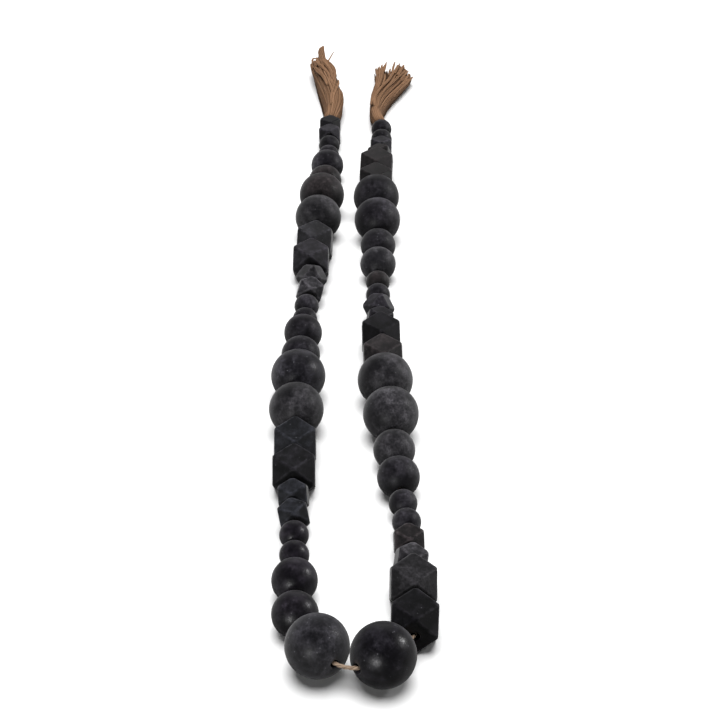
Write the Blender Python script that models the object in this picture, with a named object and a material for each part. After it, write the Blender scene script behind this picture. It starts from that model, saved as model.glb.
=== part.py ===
# Beaded garland: fifty-four charcoal wooden beads on one jute string, with a tassel at each end.
#
# The garland lies on a surface, doubled into a long narrow U.  X runs across the two strands, Y runs
# from the bend (low) to the tassels (high), Z is up and the surface is Z = 0.  The origin is under
# the middle of the whole garland.  Lengths are metres.

import math
from collections import namedtuple

import bmesh
import bpy
from mathutils import Matrix, Quaternion, Vector

# Beads.  The kinds are threaded two by two in this order, over and over, from the left tassel.
# Columns: name, shape, width across, length along the string, width of the hole, whether it rests
# on the surface (or is carried by the string), sides of the hole and of a ball, and the facets of a
# ball from one mouth of its hole to the other.
Kind = namedtuple("Kind", "name shape width length hole rests sides rings")
KINDS = (
    Kind("small_faceted", "faceted", 0.0200, 0.0178, 0.0060, False, 10, 0),
    Kind("small_round", "round", 0.0200, 0.0200, 0.0060, False, 12, 6),
    Kind("medium_round", "round", 0.0302, 0.0302, 0.0066, True, 16, 8),
    Kind("large_round", "round", 0.0403, 0.0403, 0.0074, True, 18, 8),
    Kind("large_faceted", "faceted", 0.0296, 0.0296, 0.0076, True, 12, 0),
)
# Large balls that were turned a little wider than their kind, or drilled a little narrower.
Own = namedtuple("Own", "width hole")
OWN_SIZES = {
    17: Own(0.0412, 0.0074),
    27: Own(0.0403, 0.0058),
    28: Own(0.0410, 0.0064),
    37: Own(0.0410, 0.0074),
    38: Own(0.0418, 0.0074),
    48: Own(0.0410, 0.0074),
}
BEADS = 54
ALIKE = 2                    # beads of one kind that follow each other
GAP = 0.0002                 # between two balls, whose tips the drill has taken off
SMALL_GAP = -0.0004          # between two small balls: the drill takes more off their tips
BALL_FACE_GAP = 0.0005       # between a ball and a faceted bead
FACE_GAP = 0.0012            # between two faceted beads, whose flat ends lie a little askew
# Gaps of their own, where the ends of two beads don't face each other.  Columns: first bead, gap.
ASKEW_GAPS = {10: 0.0013, 26: 0.0004, 28: 0.0047, 29: 0.0028}
EDGE = 0.0010                # width of the worn edges of a faceted bead
FLAT = 0.0002                # depth of the flat spot under a bead that reaches the surface

# The taut string holds the small beads off the surface.  One height for each repeat of the kinds,
# and those of the last beads before the right tassel, which sink with the end of the string.
SMALL_HEIGHT = (0.0125, 0.0108, 0.0137, 0.0122, 0.0127, 0.0137)
SUNK = {52: 0.0120, 53: 0.0119, 54: 0.0124}

# Each strand seen from above.  Columns: distance from the front of the bend, place across.
LEFT_STRAND = (
    (0.0266, -0.0265),
    (0.0584, -0.0412),
    (0.089, -0.0426),
    (0.134, -0.0445),
    (0.177, -0.0464),
    (0.225, -0.0469),
    (0.305, -0.0472),
    (0.400, -0.0448),
    (0.418, -0.0440),
    (0.438, -0.0418),
    (0.459, -0.0410),
    (0.484, -0.0420),
    (0.514, -0.0391),
    (0.565, -0.0362),
    (0.655, -0.0310),
    (0.742, -0.0297),
)
RIGHT_STRAND = (
    (0.0187, 0.0137),
    (0.0520, 0.0334),
    (0.0830, 0.0338),
    (0.128, 0.0322),
    (0.149, 0.0311),
    (0.170, 0.0290),
    (0.194, 0.0264),
    (0.225, 0.0240),
    (0.260, 0.0221),
    (0.300, 0.0187),
    (0.333, 0.0173),
    (0.430, 0.0145),
    (0.505, 0.0152),
    (0.616, 0.0141),
    (0.646, 0.0151),
    (0.672, 0.0183),
    (0.700, 0.0204),
    (0.740, 0.0208),
)
LAST_LEFT = 27               # the last bead before the bend, counted from the left tassel

# The beads at the bend turn with the string.  Columns: bead, heading of the string in degrees
# from +X towards +Y.
BEND_HEADINGS = {26: -79, 27: -56, 28: 38, 29: 88}

# How far the faceted beads have slipped round, in degrees.  Columns: bead, turn about the string
# (0 has a square face up), turn seen from above.
Slip = namedtuple("Slip", "roll yaw")
SLIPS = {
    2: Slip(4, 0),
    11: Slip(38, 0),
    12: Slip(-15, 0),
    21: Slip(6, -2),
    22: Slip(8, 6),
    29: Slip(2, 0),
    30: Slip(2, 0),
    31: Slip(14, 0),
    41: Slip(12, 0),
    42: Slip(-35, 0),
    51: Slip(-12, 0),
}
LEVELLING = 0.3              # of the string's slope that a large faceted bead takes up

# String: three plies, which show where it is bare at the bend.
STRING_RADIUS = 0.0014
PLY_DEPTH = 0.0003           # how deep the twist's grooves are
PLIES = 3
POINTS_A_PLY = 4
TWIST_PITCH = 0.012          # length of one full turn of the plies
BEND_STEPS = 26              # points of the string on the bare stretch
BARE_PULL = 0.80             # how far the bare stretch bows out, 1 for a round arc
TURNING = (25, 26, 27, 28, 29)    # beads that the string enters and leaves at an angle
STRAIGHT = 0.44              # of a turning bead's length, each way, where the string runs straight

# Tassels.  Locks of jute grow from one head, in rows and columns.
COLUMNS = 7
ROWS = 4
LOCK_STEPS = 8
LOCK_INSET = 0.035           # gap around each lock's root, in half widths of the head
TIP = 0.45                   # a lock's width at its tip over that at its root
SPLIT_AT = 3 / 7             # where the fan parts in two, left of the middle, in half widths
HEAD = 0.007                 # length of the head behind the locks
HEAD_GAP = 0.0004            # between the head and the last bead
STRING_END_GAP = 0.0004      # between the head and the end of the string

# Columns: distance from the head, middle across, half width, lowest, highest, flatness of the
# underside (0 round, 1 lying flat), sideways slide of the top locks, gap between the two groups.
Section = namedtuple("Section", "along middle half_width lowest highest flatness slide split")
LEFT_TASSEL = (
    Section(-0.007, -0.0296, 0.0070, 0.0054, 0.0194, 0.0, 0.0, 0.0),
    Section(0.000, -0.0288, 0.0076, 0.0049, 0.0201, 0.0, 0.0, 0.0),
    Section(0.020, -0.0278, 0.0084, 0.0008, 0.0210, 0.6, 0.001, 0.0),
    Section(0.037, -0.0286, 0.0095, 0.0000, 0.0222, 1.0, 0.002, 0.0),
    Section(0.054, -0.0295, 0.0108, 0.0000, 0.0230, 1.0, 0.001, 0.0),
    Section(0.072, -0.0326, 0.0105, 0.0000, 0.0235, 1.0, 0.000, 0.0),
    Section(0.087, -0.0351, 0.0099, 0.0000, 0.0235, 1.0, -0.001, 0.0),
    Section(0.102, -0.0348, 0.0122, 0.0000, 0.0230, 1.0, -0.003, 0.0),
    Section(0.121, -0.0360, 0.0130, 0.0000, 0.0215, 1.0, -0.004, 0.0),
    Section(0.141, -0.0403, 0.0098, 0.0000, 0.0200, 1.0, -0.003, 0.0),
    Section(0.165, -0.0412, 0.0060, 0.0000, 0.0200, 1.0, 0.000, 0.0),
)
RIGHT_TASSEL = (
    Section(-0.007, 0.0196, 0.0060, 0.0064, 0.0184, 0.0, 0.0, 0.0),
    Section(0.000, 0.0180, 0.0061, 0.0057, 0.0187, 0.0, 0.0, 0.0),
    Section(0.015, 0.0157, 0.0055, 0.0017, 0.0190, 0.5, 0.000, 0.0000),
    Section(0.026, 0.0163, 0.0061, 0.0000, 0.0190, 1.0, 0.000, 0.0000),
    Section(0.045, 0.0185, 0.0085, 0.0000, 0.0188, 1.0, 0.001, 0.0003),
    Section(0.063, 0.0228, 0.0106, 0.0000, 0.0180, 1.0, 0.002, 0.0008),
    Section(0.081, 0.0281, 0.0129, 0.0000, 0.0165, 1.0, 0.002, 0.0015),
    Section(0.098, 0.0324, 0.0150, 0.0000, 0.0150, 1.0, 0.002, 0.0022),
    Section(0.115, 0.0352, 0.0172, 0.0000, 0.0130, 1.0, 0.001, 0.0030),
    Section(0.150, 0.0364, 0.0184, 0.0000, 0.0100, 1.0, 0.000, 0.0036),
)
# Columns: mean length of the locks, how much they differ, extra length of the top middle tuft,
# how much shorter the locks of the right side are.
Cut = namedtuple("Cut", "length spread tuft slant")
LEFT_CUT = Cut(0.132, 0.009, 0.026, 0.010)
RIGHT_CUT = Cut(0.138, 0.008, 0.004, 0.030)

CHARCOAL = (0.022, 0.022, 0.024)
JUTE = (0.27, 0.17, 0.10)


def clear_scene():
    for thing in list(bpy.data.objects):
        bpy.data.objects.remove(thing, do_unlink=True)


def collection(name):
    group = bpy.data.collections.new(name)
    bpy.context.scene.collection.children.link(group)
    return group


def finish(name, colour, roughness):
    """A plain Principled material."""
    material = bpy.data.materials.new(name)
    material.use_nodes = True
    shader = material.node_tree.nodes["Principled BSDF"]
    shader.inputs["Base Color"].default_value = (*colour, 1.0)
    shader.inputs["Roughness"].default_value = roughness
    shader.inputs["Metallic"].default_value = 0.0
    material.diffuse_color = (*colour, 1.0)
    return material


def read(rows, place):
    """Every column of a table at a place between its rows, on a smooth curve through them."""
    last = len(rows) - 2
    row = 0
    while row < last and place > rows[row + 1][0]:
        row += 1
    start, end = rows[row], rows[row + 1]
    before, after = rows[max(row - 1, 0)], rows[min(row + 2, last + 1)]
    span = end[0] - start[0]
    t = (place - start[0]) / span
    values = []
    for p, q, r, s in zip(before, start, end, after):
        leaving = (r - p) / (end[0] - before[0]) * span
        arriving = (s - q) / (after[0] - start[0]) * span
        values.append(hermite(q, leaving, r, arriving, t))
    return values


def hermite(start, leaving, end, arriving, t):
    """A cubic from start to end with the two slopes."""
    return (
        start * (2 * t**3 - 3 * t**2 + 1)
        + leaving * (t**3 - 2 * t**2 + t)
        + end * (3 * t**2 - 2 * t**3)
        + arriving * (t**3 - t**2)
    )


def kind_of(bead):
    """The kind of a bead, counted from 1 at the left tassel, with its own width."""
    kind = KINDS[(bead - 1) // ALIKE % len(KINDS)]
    if bead in OWN_SIZES:
        own = OWN_SIZES[bead]
        kind = kind._replace(width=own.width, length=own.width, hole=own.hole)
    return kind


def height_of(bead):
    """How high the middle of a bead is over the surface."""
    kind = kind_of(bead)
    if not kind.rests:
        return SUNK.get(bead, SMALL_HEIGHT[(bead - 1) // (ALIKE * len(KINDS))])
    if kind.shape == "round":
        return kind.width / 2 - FLAT
    return kind.width / 2


def middles():
    """The middle of every bead, walked along each strand from the bend outwards."""
    places = {}
    runs = (
        (LEFT_STRAND, range(LAST_LEFT, 0, -1)),
        (RIGHT_STRAND, range(LAST_LEFT + 1, BEADS + 1)),
    )
    for strand, beads in runs:
        here = None
        for bead in beads:
            along = strand[0][0]
            if here is not None:
                along = step_along(strand, here, bead, places[bead_before])
            here = along
            bead_before = bead
            places[bead] = point_on(strand, along, bead)
    return places


def point_on(strand, along, bead):
    across = read(strand, along)[1]
    return Vector((across, along, height_of(bead)))


def step_along(strand, here, bead, neighbour):
    """How far along its strand a bead lies when it just clears its neighbour."""
    other = bead + 1 if strand is LEFT_STRAND else bead - 1
    reach = (kind_of(bead).length + kind_of(other).length) / 2 + gap_between(bead, other)
    near, far = here, here + 2 * reach
    for _ in range(40):
        middle = (near + far) / 2
        if (point_on(strand, middle, bead) - neighbour).length < reach:
            near = middle
        else:
            far = middle
    return near


def gap_between(bead, other):
    """Room between the full widths of two neighbours."""
    first = min(bead, other)
    if first in ASKEW_GAPS:
        return ASKEW_GAPS[first]
    balls = (kind_of(bead).shape, kind_of(other).shape).count("round")
    if kind_of(bead).name == kind_of(other).name == "small_round":
        return SMALL_GAP
    if balls == 2:
        return GAP
    if balls == 1:
        return BALL_FACE_GAP
    askew = math.radians(slip_of(bead).yaw - slip_of(other).yaw)
    half_width = min(kind_of(bead).width, kind_of(other).width) / 2
    return FACE_GAP + half_width * abs(math.sin(askew))


def slip_of(bead):
    return SLIPS.get(bead, Slip(0, 0))


def axes(places):
    """The way the string runs through every bead, from the left tassel to the right one."""
    ways = {}
    for bead in range(1, BEADS + 1):
        way = places[min(bead + 1, BEADS)] - places[max(bead - 1, 1)]
        if bead in BEND_HEADINGS:
            heading = math.radians(BEND_HEADINGS[bead])
            slope = way.z / way.xy.length
            way = Vector((math.cos(heading), math.sin(heading), slope))
        if kind_of(bead).name == "large_faceted":
            way.z *= LEVELLING
        way.rotate(Quaternion((0, 0, 1), math.radians(slip_of(bead).yaw)))
        ways[bead] = way.normalized()
    return ways


def round_bead(kind):
    """A turned ball with its hole along X, one facet corner straight down."""
    radius = kind.width / 2
    mouth = math.asin(kind.hole / kind.width)
    bm = bmesh.new()
    rim = []
    for i in range(kind.rings + 1):
        angle = mouth + (math.pi - 2 * mouth) * i / kind.rings
        rim.append(bm.verts.new((-radius * math.cos(angle), 0.0, -radius * math.sin(angle))))
    edges = [bm.edges.new((a, b)) for a, b in zip(rim, rim[1:] + rim[:1])]
    bmesh.ops.spin(bm, geom=rim + edges, cent=(0, 0, 0), axis=(1, 0, 0), angle=2 * math.pi,
                   steps=kind.sides, use_merge=True)
    bmesh.ops.recalc_face_normals(bm, faces=bm.faces)
    return bm


def faceted_bead(kind):
    """A cube with its corners sawn off at the middles of its edges, drilled along X."""
    bm = bmesh.new()
    bmesh.ops.create_cube(bm, size=kind.width)
    bmesh.ops.bevel(bm, geom=bm.verts[:], offset=kind.width / 2, affect="VERTICES",
                    offset_type="OFFSET", segments=1, profile=0.5)
    bmesh.ops.remove_doubles(bm, verts=bm.verts, dist=1e-5)
    bmesh.ops.scale(bm, vec=(kind.length / kind.width, 1, 1), verts=bm.verts)
    bmesh.ops.bevel(bm, geom=bm.edges[:], offset=EDGE, affect="EDGES", offset_type="WIDTH",
                    segments=1, profile=0.5)
    bmesh.ops.recalc_face_normals(bm, faces=bm.faces)
    solid = mesh_object("uncut_bead", bm)
    drill = bmesh.new()
    bmesh.ops.create_cone(drill, cap_ends=True, segments=kind.sides, radius1=kind.hole / 2,
                          radius2=kind.hole / 2, depth=2 * kind.width,
                          matrix=Matrix.Rotation(math.pi / 2, 4, "Y"))
    cutter = mesh_object("drill", drill)
    cut = solid.modifiers.new("hole", "BOOLEAN")
    cut.operation = "DIFFERENCE"
    cut.solver = "EXACT"
    cut.object = cutter
    bm = bmesh.new()
    bm.from_mesh(evaluated(solid))
    for thing in (solid, cutter):
        bpy.data.objects.remove(thing)
    return bm


def mesh_object(name, bm):
    """A new object in the scene that takes over a bmesh."""
    mesh = bpy.data.meshes.new(name)
    bm.to_mesh(mesh)
    bm.free()
    thing = bpy.data.objects.new(name, mesh)
    bpy.context.scene.collection.objects.link(thing)
    return thing


def evaluated(thing):
    """The mesh of an object with its modifiers, as new data."""
    bpy.context.view_layer.update()
    graph = bpy.context.evaluated_depsgraph_get()
    return bpy.data.meshes.new_from_object(thing.evaluated_get(graph))


def rest_on_surface(bm, turn, height):
    """Cut a flat spot where the turned bead would reach the surface; returns its new height."""
    lowest = min((turn @ vert.co).z for vert in bm.verts)
    height = max(height, -lowest - FLAT)
    if height + lowest > -FLAT / 2:
        return height
    down = turn.inverted() @ Vector((0, 0, -1))
    cut = bmesh.ops.bisect_plane(bm, geom=bm.verts[:] + bm.edges[:] + bm.faces[:],
                                 plane_co=down * height, plane_no=down, clear_outer=True)
    edges = [item for item in cut["geom_cut"] if isinstance(item, bmesh.types.BMEdge)]
    bmesh.ops.edgenet_fill(bm, edges=edges)
    bmesh.ops.recalc_face_normals(bm, faces=bm.faces)
    return height


def make_beads(group, root, places, ways):
    shapes = {}
    for bead in range(1, BEADS + 1):
        kind = kind_of(bead)
        if kind not in shapes:
            shapes[kind] = round_bead(kind) if kind.shape == "round" else faceted_bead(kind)
        turn = ways[bead].to_track_quat("X", "Z")
        turn = turn @ Quaternion((1, 0, 0), math.radians(slip_of(bead).roll))
        bm = shapes[kind].copy()
        places[bead].z = rest_on_surface(bm, turn, places[bead].z)
        thing = mesh_object(f"bead_{bead:02d}_{kind.name}", bm)
        thing.rotation_mode = "QUATERNION"
        thing.rotation_quaternion = turn
        thing.location = places[bead]
        if kind.shape == "round":
            thing.data.shade_smooth()
            thing.data.set_sharp_from_angle(angle=math.radians(50))
        keep(thing, group, root, finish(kind.name, CHARCOAL, 0.6))
    for bm in shapes.values():
        bm.free()


def keep(thing, group, root, material):
    """Put a finished piece in the garland's collection, under its root."""
    for other in list(thing.users_collection):
        other.objects.unlink(thing)
    group.objects.link(thing)
    thing.parent = root
    thing.data.materials.clear()
    thing.data.materials.append(material)


def string_route(places, ways):
    """Points of the string with the turn of its plies: a few in every bead, more where it is bare."""
    route = [(places[1] - ways[1] * reach_to_head(1), 0.0)]
    turn = 0.0
    for bead in range(1, BEADS + 1):
        if bead in TURNING:
            straight = ways[bead] * kind_of(bead).length * STRAIGHT
            route += [(places[bead] - straight, turn), (places[bead] + straight, turn)]
        else:
            route.append((places[bead], turn))
        if bead == LAST_LEFT:
            bare = bare_stretch(route[-1][0], ways[bead], places[bead + 1], ways[bead + 1])
            route += bare
            turn = bare[-1][1]
    route.append((places[BEADS] + ways[BEADS] * reach_to_head(BEADS), turn))
    return route


def bare_stretch(leave, way_out, next_bead, way_in):
    """The bow of string between the two beads at the bend, its plies turning as it goes."""
    arrive = next_bead - way_in * kind_of(LAST_LEFT + 1).length * STRAIGHT
    pull = (arrive - leave).length * BARE_PULL
    points = []
    turn = 0.0
    before = leave
    for i in range(1, BEND_STEPS):
        point = hermite(leave, way_out * pull, arrive, way_in * pull, i / BEND_STEPS)
        turn += (point - before).length / TWIST_PITCH * 2 * math.pi
        points.append((point, turn))
        before = point
    return points


def reach_to_head(bead):
    """From the middle of an end bead to the end of the string beyond it."""
    return kind_of(bead).length / 2 + HEAD_GAP - STRING_END_GAP


def make_string(group, root, places, ways):
    outline = bpy.data.curves.new("string_section", "CURVE")
    outline.dimensions = "2D"
    count = PLIES * POINTS_A_PLY
    ring = outline.splines.new("POLY")
    ring.points.add(count - 1)
    for i, point in enumerate(ring.points):
        angle = 2 * math.pi * i / count
        radius = STRING_RADIUS - PLY_DEPTH * (1 - math.cos(PLIES * angle)) / 2
        point.co = (radius * math.cos(angle), -radius * math.sin(angle), 0.0, 1.0)
    ring.use_cyclic_u = True
    section = bpy.data.objects.new("string_section", outline)
    section.hide_render = True
    section.display_type = "WIRE"
    guides = collection("guides")
    guides.objects.link(section)

    curve = bpy.data.curves.new("string", "CURVE")
    curve.dimensions = "3D"
    curve.twist_mode = "Z_UP"
    curve.bevel_mode = "OBJECT"
    curve.bevel_object = section
    curve.use_fill_caps = True
    route = string_route(places, ways)
    line = curve.splines.new("POLY")
    line.points.add(len(route) - 1)
    for point, (place, turn) in zip(line.points, route):
        point.co = (*place, 1.0)
        point.tilt = turn
    thing = bpy.data.objects.new("string", curve)
    bpy.context.scene.collection.objects.link(thing)
    keep(thing, group, root, finish("jute_string", JUTE, 0.9))


def lock_length(cut, a, b):
    """Length of the lock whose root is at (a, b) in the head; uneven, without chance."""
    uneven = math.sin(12.9 * a + 7.3 * b) + 0.6 * math.sin(31.7 * a - 17.1 * b)
    in_tuft = abs(a) < 0.4 and b > 0.3
    return cut.length + cut.spread * uneven / 1.6 + cut.tuft * in_tuft - cut.slant * max(a, 0.0)**2


def tassel_place(rows, base, a, b, along):
    """Where a point of the tassel lies: a and b run from -1 to 1 across the head and up."""
    at = Section(*read(rows, along))
    round_x = a * math.sqrt(1 - b * b / 2)
    round_z = b * math.sqrt(1 - a * a / 2)
    flat_z = (b + 1) * math.sqrt(1 - 0.6 * a * a) - 1
    x = round_x + (a - round_x) * at.flatness
    z = round_z + (flat_z - round_z) * at.flatness
    side = math.copysign(1.0, a + SPLIT_AT)
    across = at.middle + at.half_width * x + at.slide * (b + 1) / 2 + at.split * side
    return Vector((across, base + along, at.lowest + (at.highest - at.lowest) * (z + 1) / 2))


def make_tassel(name, rows, cut, base, group, root):
    """Locks drawn out of the face of one head, each in its own cell, so none cuts another."""
    bm = bmesh.new()
    bmesh.ops.create_grid(bm, x_segments=COLUMNS, y_segments=ROWS, size=1.0)
    fronts = bm.faces[:]
    back = bmesh.ops.extrude_face_region(bm, geom=fronts, use_keep_orig=True)
    for item in back["geom"]:
        if isinstance(item, bmesh.types.BMVert):
            item.co.z = -HEAD
    bmesh.ops.inset_individual(bm, faces=fronts, thickness=LOCK_INSET)
    roots = {}
    for face in fronts:
        middle = face.calc_center_median()
        roots[face] = (middle, [vert.co - middle for vert in face.verts])
    for step in range(1, LOCK_STEPS + 1):
        drawn = bmesh.ops.extrude_discrete_faces(bm, faces=list(roots))["faces"]
        part = step / LOCK_STEPS
        taper = 1 - (1 - TIP) * part**3
        new_roots = {}
        for face, (middle, corners) in zip(drawn, roots.values()):
            for vert, corner in zip(face.verts, corners):
                vert.co = middle + corner * taper
                vert.co.z = lock_length(cut, middle.x, middle.y) * part
            new_roots[face] = (middle, corners)
        roots = new_roots
    for vert in bm.verts:
        vert.co = tassel_place(rows, base, *vert.co)
    bmesh.ops.recalc_face_normals(bm, faces=bm.faces)
    keep(mesh_object(name, bm), group, root, finish("jute_" + name, JUTE, 0.95))


def centre_under(root, group):
    """Move the root so that the origin is under the middle of the garland."""
    points = []
    for thing in group.objects:
        if thing is not root:
            mesh = evaluated(thing)
            points += [thing.matrix_world @ vert.co for vert in mesh.vertices]
            bpy.data.meshes.remove(mesh)
    for axis in (0, 1):
        values = [point[axis] for point in points]
        root.location[axis] = -(min(values) + max(values)) / 2


def main():
    clear_scene()
    group = collection("beaded_garland")
    root = bpy.data.objects.new("garland_origin", None)
    group.objects.link(root)
    places = middles()
    ways = axes(places)
    make_beads(group, root, places, ways)
    make_string(group, root, places, ways)
    for name, rows, cut, bead in (
        ("tassel_left", LEFT_TASSEL, LEFT_CUT, 1),
        ("tassel_right", RIGHT_TASSEL, RIGHT_CUT, BEADS),
    ):
        base = places[bead].y + kind_of(bead).length / 2 + HEAD_GAP + HEAD
        make_tassel(name, rows, cut, base, group, root)
    centre_under(root, group)


main()
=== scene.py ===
# Beaded garland: charcoal wooden beads on jute twine, a jute tassel at each end, on a pale floor.
#
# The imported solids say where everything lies.  X runs across the two strands, Y from the bend to
# the tassels, Z up from the surface.  Lengths are metres.

import math
import random
from collections import namedtuple

import bmesh
import bpy
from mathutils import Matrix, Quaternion, Vector, noise


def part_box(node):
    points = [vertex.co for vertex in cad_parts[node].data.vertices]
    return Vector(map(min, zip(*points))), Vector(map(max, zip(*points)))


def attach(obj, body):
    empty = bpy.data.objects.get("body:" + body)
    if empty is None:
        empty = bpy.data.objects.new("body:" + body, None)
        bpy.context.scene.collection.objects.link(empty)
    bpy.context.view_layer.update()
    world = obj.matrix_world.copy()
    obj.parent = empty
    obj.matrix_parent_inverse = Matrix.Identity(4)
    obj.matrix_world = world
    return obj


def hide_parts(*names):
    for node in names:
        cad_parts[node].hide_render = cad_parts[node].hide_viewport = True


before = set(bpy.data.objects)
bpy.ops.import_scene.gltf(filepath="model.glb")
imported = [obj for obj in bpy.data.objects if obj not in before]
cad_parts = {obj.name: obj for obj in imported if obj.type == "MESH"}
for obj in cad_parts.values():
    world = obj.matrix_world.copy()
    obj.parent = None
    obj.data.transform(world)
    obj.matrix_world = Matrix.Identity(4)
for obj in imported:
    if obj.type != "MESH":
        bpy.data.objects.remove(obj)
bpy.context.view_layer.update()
UP = Vector((0, 0, 1))

# Camera.  It looks along +Y from low above the bend; its place is counted from the middle of the
# ball at the left of the bend.
LENS = 76.7                  # millimetres, on a sensor 36 mm wide
PITCH = 35.39                # degrees down
EYE_RIGHT = 0.0261
EYE_FRONT = 0.6608
EYE_HEIGHT = 0.7042

# Beads, from the left tassel to the right one.
Kind = namedtuple("Kind", "shape width length hole")
KINDS = {
    "small_faceted": Kind("faceted", 0.0200, 0.0178, 0.0060),
    "small_round": Kind("round", 0.0200, 0.0200, 0.0060),
    "medium_round": Kind("round", 0.0302, 0.0302, 0.0066),
    "large_round": Kind("round", 0.0403, 0.0403, 0.0074),
    "large_faceted": Kind("faceted", 0.0296, 0.0296, 0.0076),
}
# Large balls that were turned a little wider than their kind, or drilled a little narrower.
Own = namedtuple("Own", "width hole")
OWN_SIZES = {
    17: Own(0.0412, 0.0074),
    27: Own(0.0403, 0.0058),
    28: Own(0.0410, 0.0064),
    37: Own(0.0410, 0.0074),
    38: Own(0.0418, 0.0074),
    48: Own(0.0410, 0.0074),
}
LAST_LEFT = 27               # the last bead before the bend
EASING = 0.0006              # how far sandpaper has rounded the mouth of a hole
EASED_STEPS = 3
BALL_SPACING = 0.0017        # between the points of a ball's outline
MOUTH_DEPTH = EASING / 3     # from this far under a ball's surface inwards, its mouth is worn
CORNERS_MEET = 1e-5          # corners of a sawn bead that are closer than this are one
BLUNT = 0.0020               # how much handling has taken off the corners of a faceted bead
WORN_EDGE = 0.0007           # how far its edges are rounded, on each facet
EDGE_STEPS = 4
TRUE_FACET = 1 / 4           # of the bead's width; a face smaller than its square is worn edge
FACES_ALONG = 0.9            # an end facet's normal has more than this along X
WEAR_RINGS = (0.0002, 0.0003, 0.0004)    # inside a facet, where the wear of its edge fades out
MOUTH_INSET = 0.2            # of a hole's radius, from the end facet to the face that is drilled
MOUTH_CUTS = 5               # in each side of that face, to make it round
UNEVEN = 0.00010             # how far the wood departs from its true shape
UNEVEN_PITCH = 0.014         # and over what distance
GRAIN_RANGE = 10.0           # metres of timber that the beads' grain is taken from

# The beads at the bend turn with the string.  Columns: bead, heading of the string in degrees
# from +X towards +Y.
BEND_HEADINGS = {26: -79, 27: -56, 28: 38, 29: 88}

# How far the faceted beads have slipped round, in degrees: turn about the string (0 has a square
# face up), turn seen from above.
Slip = namedtuple("Slip", "roll yaw")
SLIPS = {
    2: Slip(4, 0),
    11: Slip(38, 0),
    12: Slip(-15, 0),
    21: Slip(6, -2),
    22: Slip(8, 6),
    29: Slip(2, 0),
    30: Slip(2, 0),
    31: Slip(14, 0),
    41: Slip(12, 0),
    42: Slip(-35, 0),
    51: Slip(-12, 0),
}
LEVELLING = 0.3              # of the string's slope that a large faceted bead takes up

# Finishes of the wood.  Columns: colour where the stain is whole, colour where it is rubbed to
# chalk, how much of the bead is rubbed (0 to 1), how many pale specks it has (0 to 1), how much
# wax shines on it (0 to 1), roughness.
Finish = namedtuple("Finish", "stain chalk rubbed specks wax roughness")
FINISHES = {
    "charcoal": Finish((0.0018, 0.0015, 0.0024), (0.038, 0.035, 0.043), 0.42, 0.25, 0.05, 0.48),
    "satin": Finish((0.0008, 0.0006, 0.0012), (0.023, 0.021, 0.028), 0.30, 0.30, 0.31, 0.35),
    "plum": Finish((0.0012, 0.0009, 0.0016), (0.026, 0.022, 0.030), 0.34, 0.20, 0.28, 0.38),
    "veiled": Finish((0.0016, 0.0014, 0.0022), (0.036, 0.034, 0.042), 0.50, 0.25, 0.16, 0.42),
    "slate": Finish((0.0015, 0.0017, 0.0024), (0.026, 0.027, 0.034), 0.38, 0.20, 0.0, 0.60),
    "chalky": Finish((0.0020, 0.0019, 0.0026), (0.054, 0.051, 0.057), 0.52, 0.15, 0.06, 0.50),
    "speckled": Finish((0.0020, 0.0019, 0.0027), (0.043, 0.041, 0.049), 0.50, 0.55, 0.14, 0.46),
    "umber": Finish((0.0022, 0.0018, 0.0020), (0.039, 0.032, 0.034), 0.46, 0.20, 0.05, 0.50),
    "deep": Finish((0.0008, 0.0008, 0.0010), (0.013, 0.012, 0.015), 0.24, 0.20, 0.0, 0.56),
}
# The other beads are charcoal.
FINISH_OF = {
    "satin": (28,),
    "plum": (23, 24, 25, 26),
    "veiled": (17,),
    "slate": (19, 21, 22),
    "chalky": (8, 11, 12, 18, 30, 31, 36, 37, 38, 45),
    "speckled": (9, 27),
    "umber": (6, 7, 32, 39, 44, 49, 50, 51),
    "deep": (20, 29, 40),
}
# How light single beads came out against the rest of their finish, which is 1. This is partly each
# bead's own tone and partly painted shade, which darkens beads whose tops catch the light from
# above.
TONE_AND_PAINTED_SHADE_OF = {
    0.30: (1,),
    0.45: (30, 49, 51),
    0.60: (3, 41, 50, 53),
    0.80: (6, 9, 10, 26, 39, 40, 43, 44, 46, 48),
    1.20: (14, 16, 24, 25, 31, 32, 42, 47),
    1.45: (5, 12, 17, 20, 23, 37),
    1.80: (45,),
}

# Mottles of the finishes.  Columns: marks a metre, detail, the level where the mottle sets in and
# the one where it is whole.
Mottle = namedtuple("Mottle", "scale detail low high")
MOTTLE_ROUGHNESS = 0.65
PATCHES = Mottle(56.0, 5.0, -0.10, 0.12)    # of chalk; the levels are counted from PATCH_LEVEL
PATCH_LEVEL = 0.60           # on wood that isn't rubbed at all
PATCH_GROWTH = 0.20          # how much lower it lies on wood that is rubbed all over
CLOUDS = Mottle(230.0, 5.0, 0.38, 0.64)
DUSTING = Mottle(800.0, 4.0, 0.36, 0.62)
STREAKS = Mottle(900.0, 3.0, 0.50, 0.72)
STREAKS_DRAWN = (0.10, 1.0, 1.0)    # drawn out where this is small; X runs along the hole
SCUFFS = Mottle(520.0, 4.0, 0.60, 0.70)
SCUFFS_DRAWN = (1.0, 0.06, 0.8)
CHALK_BROKEN = 0.75          # how far the clouds, and then the dusting, break up the chalk
CLOUD_CHALK = 0.10           # how much chalk the clouds have between the patches
EDGE_CHALK = 0.42            # how much chalk an edge has where it is worn
EDGE_PALER = 1.5             # and how much paler it is there

# What grows with a column of the finish.  Columns: at 0, and how much more at 1.
Growing = namedtuple("Growing", "least more")
STREAK_CHALK = Growing(0.05, 0.10)    # with how much is rubbed
SCUFF_CHALK = Growing(0.10, 0.30)     # with how much is rubbed
SHEEN = Growing(0.05, 0.25)           # with how much is rubbed
GLOSS = Growing(0.30, 0.40)           # with the wax
SHEEN_ROUGHNESS = 0.45
CHALK_ROUGHER = 0.25         # than the stain
WAX_ROUGHNESS = 0.17
WAX_IOR = 1.35

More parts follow.
